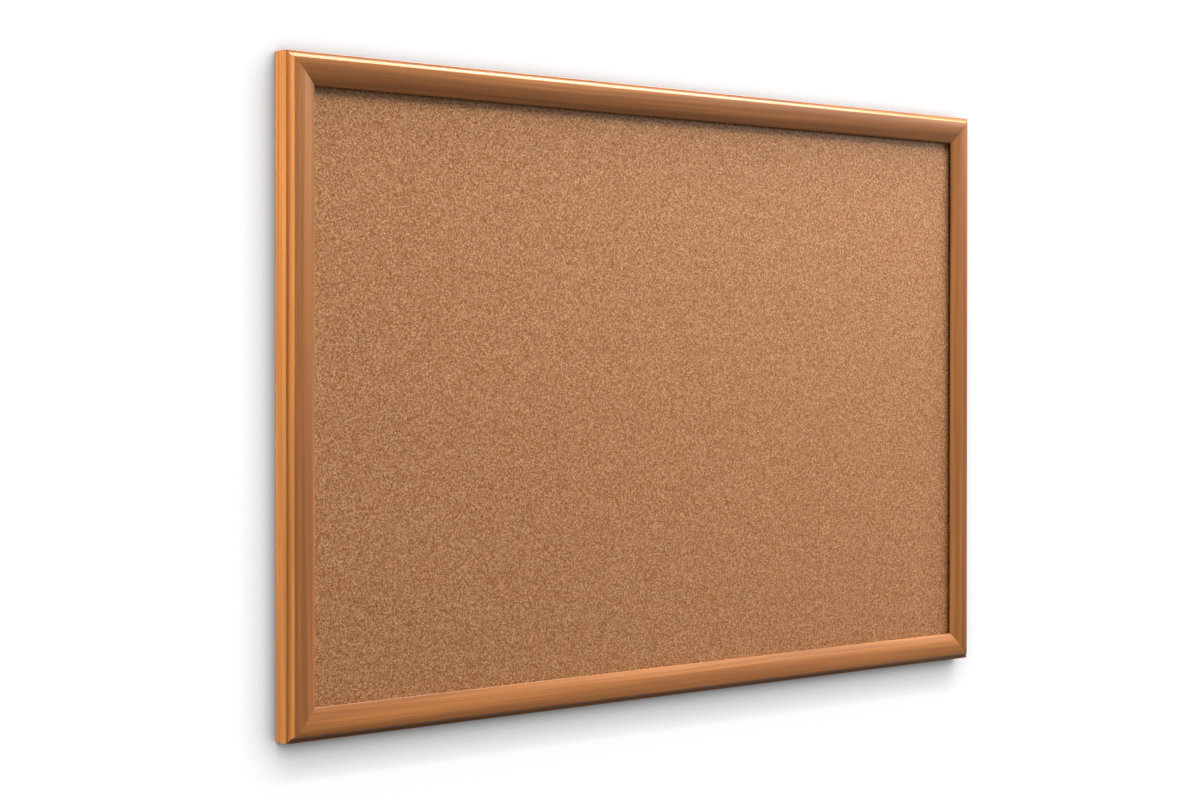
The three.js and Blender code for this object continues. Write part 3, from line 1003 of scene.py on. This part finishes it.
def screw_mesh(hardware):
    """A countersunk screw without its thread along Z, its head's top at Z = 0."""
    bm = bmesh.new()
    head, core = hardware.screw_head_radius, hardware.screw_core_radius
    taper = head - hardware.screw_shank_radius
    profile = (
        (head - HEAD_RIM, 0),
        (head, HEAD_RIM),
        (hardware.screw_shank_radius, taper),
        (core, taper + NECK),
        (core, hardware.screw_length - hardware.screw_tip),
        (TIP_RADIUS, hardware.screw_length),
        (0, hardware.screw_length),
    )
    last = bmesh.ops.create_vert(bm, co=(0, 0, 0))["vert"][0]
    for radius, depth in profile:
        last = bmesh.ops.extrude_vert_indiv(bm, verts=[last])["verts"][0]
        last.co = (radius, 0, depth)
    spin(bm, bm.verts[:] + bm.edges[:], (0, 0, 0), math.tau, SCREW_STEPS, use_merge=True)
    bmesh.ops.remove_doubles(bm, verts=bm.verts, dist=1e-6)
    return bm


def add_thread(bm, hardware):
    """A sharp thread wound round the core, tapering out at both ends."""
    pitch = hardware.screw_pitch
    start = hardware.screw_head_radius - hardware.screw_shank_radius + THREAD_LEAD
    stop = hardware.screw_length - THREAD_END
    count = int((stop - start) / pitch * THREAD_STEPS)
    section = bmesh.ops.create_circle(bm, cap_ends=False, segments=3, radius=1)["verts"]
    inner = hardware.screw_core_radius * THREAD_ROOT_SHARE
    outer = hardware.screw_shank_radius
    foot = THREAD_FOOT_SHARE * pitch
    corners = ((inner, -foot), (outer, 0), (inner, foot))
    for vert, (radius, offset) in zip(section, corners):
        vert.co = (radius, 0, start + offset)
    known = set(bm.verts) - set(section)
    edges = list({edge for vert in section for edge in vert.link_edges})
    climb = (0, 0, pitch / THREAD_STEPS)
    spin(bm, section + edges, (0, 0, 0), math.tau * count / THREAD_STEPS, count, dvec=climb)
    thread = [vert for vert in bm.verts if vert not in known]
    taper_from = hardware.screw_length - hardware.screw_tip
    for vert in thread:
        past = (vert.co.z - taper_from) / hardware.screw_tip
        lead = (vert.co.z - start) / pitch
        if past > 0:
            vert.co.xy *= max(THREAD_TIP_SHARE, 1 - past)
        elif lead < RUN_IN:
            flat = Vector(vert.co.xy).length
            limit = inner + (outer - inner) * max(0.0, lead + RUN_IN)
            if flat > limit:
                vert.co.xy *= limit / flat
    threaded = set(thread)
    open_ends = [edge for edge in bm.edges if edge.is_boundary and edge.verts[0] in threaded]
    bmesh.ops.holes_fill(bm, edges=open_ends, sides=3)


def turn_about_axis(bm, verts, angle):
    bmesh.ops.rotate(bm, verts=verts, cent=(0, 0, 0), matrix=Matrix.Rotation(angle, 3, "Z"))


def cross_recess():
    """The cutter for the cross in a screw's head, narrower towards its bottom."""
    bm = bmesh.new()
    for turn in (0, math.radians(90)):
        arm = add_box(bm, RECESS_LOW, RECESS_HIGH)
        for vert in arm:
            if vert.co.z > 0:
                vert.co.x *= RECESS_NARROWS[0]
                vert.co.y *= RECESS_NARROWS[1]
        turn_about_axis(bm, arm, turn)
    return finish_mesh(bm, "recess_cutter", "plated_zinc")


class CORKBOARD_OT_hanger_screws(Operator):
    """Makes the countersunk wood screws that hold the hanger plates"""

    bl_idname = "cork_board.hanger_screws"
    bl_label = "Hanger screws"

    def execute(self, context):
        hardware = context.scene.cork_board_hardware
        draws = random.Random(context.scene.cork_board_finish.seed)
        for side in SIDES:
            for end in ("upper", "lower"):
                node = f"hanger_screw_{side}_{end}"
                low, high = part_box(node)
                plain = screw_mesh(hardware)
                piece = finish_mesh(plain, f"wood_screw_{side}_{end}", "plated_zinc")
                cut_out(piece, [cross_recess()])
                bm = bmesh.new()
                bm.from_mesh(piece.data)
                add_thread(bm, hardware)
                turn_about_axis(bm, bm.verts, draws.uniform(0, math.pi))
                seat = ((low.x + high.x) / 2, high.y, (low.z + high.z) / 2)
                bmesh.ops.transform(bm, matrix=from_axes(RIGHT, UP, OUT, seat), verts=bm.verts)
                bmesh.ops.recalc_face_normals(bm, faces=bm.faces)
                mark_creases(bm)
                bm.to_mesh(piece.data)
                bm.free()
                place_piece(piece, "zinc_plate", node)
        return {"FINISHED"}


def draw_staple(bm, half, depth, wire):
    """A staple from behind: its crown along X, its legs down Y, with outward chisel points."""
    bend = BEND_SHARE * wire
    outline = Outline(bm, (-half + wire, 0))
    outline.line(half - wire, 0)
    outline.arc((half - wire, wire), 90, BEND_OUTER_STEPS)
    outline.line(half, depth - wire)
    outline.line(half - wire, depth)
    outline.line(half - wire, bend)
    outline.arc((half - bend, bend), -90, BEND_INNER_STEPS)
    outline.line(-half + bend, wire)
    outline.arc((-half + bend, bend), -90, BEND_INNER_STEPS)
    outline.line(-half + wire, depth)
    outline.line(-half, depth - wire)
    outline.line(-half, wire)
    outline.arc((-half + wire, wire), 90, BEND_OUTER_STEPS)
    return outline.face()


class CORKBOARD_OT_staples(Operator):
    """Makes the staples that hold the panel, with rounded bends and chisel points"""

    bl_idname = "cork_board.staples"
    bl_label = "Staples"

    def execute(self, context):
        wire = context.scene.cork_board_hardware.staple_wire
        for node in sorted(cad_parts):
            if not node.startswith("panel_staple_"):
                continue
            low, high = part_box(node)
            wide, deep, tall = (high[axis] - low[axis] for axis in range(3))
            upright = node.split("_")[2] in SIDES
            crown, width = (tall, wide) if upright else (wide, tall)
            bm = bmesh.new()
            extrude_face(bm, draw_staple(bm, crown / 2, deep, wire), width)
            bmesh.ops.translate(bm, vec=(0, 0, -width / 2), verts=bm.verts)
            along, across = (UP, RIGHT) if upright else (RIGHT, UP)
            middle = (low + high) / 2
            axes = from_axes(along, OUT, across, (middle.x, high.y, middle.z))
            bmesh.ops.transform(bm, matrix=axes, verts=bm.verts)
            piece = finish_mesh(bm, node.replace("panel_staple", "wire_staple"), "drawn_steel")
            ease_edges(piece, STAPLE_EASE, STAPLE_EASE_STEPS)
            place_piece(piece, "bright_steel", node)
        return {"FINISHED"}


class CORKBOARD_OT_v_nails(Operator):
    """Gives the V-nails of the mitres their finish"""

    bl_idname = "cork_board.v_nails"
    bl_label = "V-nails"

    def execute(self, context):
        for node in sorted(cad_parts):
            if node.startswith("v_nail_"):
                dress(node, "drawn_steel")
        return {"FINISHED"}


# Stage

CAMERA_PLACE = (-1.61358, -1.76835, 0.0359)
CAMERA_TURN = (89.6, -0.02, -41.36)
CAMERA_LENS = 71.13
CAMERA_SHIFT = (-0.01333, -0.0225)
SENSOR_WIDTH = 36

# name, place, aim, width, height, watts, colour
LAMPS = (
    ("key", (0.55, -1.6, 3.25), (0.0, 0.0, 0.0), 3.3, 1.5, 200.0, (1.0, 0.99, 0.98)),
    ("sheen", (2.2, -1.5, 0.85), (0.3, 0.0, 0.1), 0.5, 0.5, 12.5, (1.0, 1.0, 1.0)),
    ("rim", (0.75, -0.14, 1.5), (0.0, -0.02, 0.3), 0.2, 1.1, 49.0, (1.0, 0.99, 0.98)),
    ("left", (-2.42, -0.04, 1.96), (-0.4, -0.01, -0.1), 0.07, 1.4, 208.0, (1.0, 1.02, 0.9)),
    ("rear", (0.9, 2.2, 1.3), (0.0, 0.0, 0.0), 1.6, 1.6, 72.0, (1.0, 0.99, 0.98)),
)
WORLD_LIGHT = 0.03
WALL_GLOW = 0.95
FLOOR_GLOW = 0.15
FAR_GLOW = 0.9
GLOW_NEAR, GLOW_FAR = 1.8, 5.0  # from the board's middle, where the far glow begins and is full
STAGE_BOUNCE = 0.1  # how much of its colour the stage sends back onto things
CORNER_REACH = 0.04  # how far the painted shade beside a thing on the stage goes
SHADE_FROM, SHADE_TO = 0.343, 1.015  # the shares of open sky at which the painted shade is darkest and at which it is gone
WALL_LEAN = (0.0, -0.94, 0.342)  # the way that the wall looks for open sky, which puts its painted shadow below the board
FLOOR_LEVEL = -0.95
STAGE_REACH = 9.0
WALL_TOP = STAGE_REACH / 2
WALL_LAP = 0.0003  # how far the wall goes in behind the board's edge
WALL_GAP = 0.0001  # between the wall and the board's back


def add_lamp(name, place, aim, width, height, watts, tint):
    data = bpy.data.lights.new(name, "AREA")
    data.shape = "RECTANGLE"
    data.size, data.size_y = width, height
    data.energy = watts
    data.color = tint
    lamp = bpy.data.objects.new(name, data)
    lamp.location = place
    lamp.rotation_euler = (Vector(aim) - Vector(place)).to_track_quat("-Z", "Y").to_euler()
    bpy.context.scene.collection.objects.link(lamp)


def add_camera(scene):
    data = bpy.data.cameras.new("camera")
    data.sensor_width = SENSOR_WIDTH
    data.lens = CAMERA_LENS
    data.shift_x, data.shift_y = CAMERA_SHIFT
    camera = bpy.data.objects.new("camera", data)
    camera.location = CAMERA_PLACE
    camera.rotation_euler = [math.radians(angle) for angle in CAMERA_TURN]
    scene.collection.objects.link(camera)
    scene.camera = camera


def add_rectangle(bm, left, bottom, right, top):
    """An upright rectangle's four points and edges."""
    corners = ((left, bottom), (right, bottom), (right, top), (left, top))
    verts = [bm.verts.new((x, 0, z)) for x, z in corners]
    return [bm.edges.new((verts[i], verts[(i + 1) % 4])) for i in range(4)]


def add_wall(tint):
    """A wall that faces the viewer, open behind the board so that its back can be seen."""
    bm = bmesh.new()
    outer = add_rectangle(bm, -STAGE_REACH, FLOOR_LEVEL, STAGE_REACH, WALL_TOP)
    lap = Vector((WALL_LAP, 0, WALL_LAP))
    low, high = CAD_LOW + lap, CAD_HIGH - lap
    inner = add_rectangle(bm, low.x, low.z, high.x, high.z)
    bmesh.ops.bridge_loops(bm, edges=outer + inner)
    bmesh.ops.translate(bm, vec=(0, WALL_GAP, 0), verts=bm.verts)
    bmesh.ops.recalc_face_normals(bm, faces=bm.faces)
    if sum(face.normal.y for face in bm.faces) > 0:
        bmesh.ops.reverse_faces(bm, faces=bm.faces)
    return new_object(bm, "wall", [pale_material("wall_paint", tint, WALL_GLOW, True)])


def add_floor(tint):
    bm = bmesh.new()
    bmesh.ops.create_grid(bm, x_segments=1, y_segments=1, size=STAGE_REACH)
    bmesh.ops.translate(bm, vec=(0, 0, FLOOR_LEVEL), verts=bm.verts)
    return new_object(bm, "floor", [pale_material("floor_paint", tint, FLOOR_GLOW, False)])


def surround(scene):
    """White where the camera, a mirror or glass looks past the stage, soft light elsewhere."""
    scene.world = bpy.data.worlds.new("surroundings")
    scene.world.use_nodes = True
    nodes = Nodes(scene.world.node_tree)
    background = scene.world.node_tree.nodes["Background"]
    nodes.feed(background, "Color", (1, 1, 1))
    strength = nodes.spread(seen_plainly(nodes), WORLD_LIGHT, 1.0)
    nodes.feed(background, "Strength", strength)


class CORKBOARD_OT_stage(Operator):
    """Sets up the camera, the pale wall and floor, the lamps and the white surroundings"""

    bl_idname = "cork_board.stage"
    bl_label = "Stage"

    def execute(self, context):
        scene = context.scene
        finish = scene.cork_board_finish
        add_camera(scene)
        scene.view_settings.view_transform = "Standard"
        wall, floor = add_wall(finish.wall), add_floor(finish.floor)
        for lamp in LAMPS:
            add_lamp(*lamp)
        surround(scene)
        return {"FINISHED"}


# Add-on


class CORKBOARD_PT_board(Panel):
    """Lists the steps that build the board, and the sizes and colours behind them"""

    bl_idname = "CORKBOARD_PT_board"
    bl_label = "Cork board"
    bl_space_type = "VIEW_3D"
    bl_region_type = "UI"
    bl_category = "Cork board"

    def draw(self, context):
        for step in STEPS:
            self.layout.operator(step.bl_idname)
        for name in GROUPS:
            group = getattr(context.scene, name)
            column = self.layout.column(align=True)
            for key in group.__annotations__:
                column.prop(group, key)


GROUPS = {
    "cork_board_moulding": CORKBOARD_PG_moulding,
    "cork_board_hardware": CORKBOARD_PG_hardware,
    "cork_board_finish": CORKBOARD_PG_finish,
}
STEPS = (
    CORKBOARD_OT_stage,
    CORKBOARD_OT_mouldings,
    CORKBOARD_OT_cork,
    CORKBOARD_OT_panel_layers,
    CORKBOARD_OT_hanger_plates,
    CORKBOARD_OT_hanger_screws,
    CORKBOARD_OT_staples,
    CORKBOARD_OT_v_nails,
)


def register():
    for item in (*GROUPS.values(), *STEPS, CORKBOARD_PT_board):
        bpy.utils.register_class(item)
    for name, item in GROUPS.items():
        setattr(bpy.types.Scene, name, PointerProperty(type=item))


def unregister():
    for name in GROUPS:
        delattr(bpy.types.Scene, name)
    for item in reversed((*GROUPS.values(), *STEPS, CORKBOARD_PT_board)):
        bpy.utils.unregister_class(item)


def main():
    register()
    for step in STEPS:
        group, name = step.bl_idname.split(".")
        getattr(getattr(bpy.ops, group), name)()


if __name__ == "__main__":
    main()
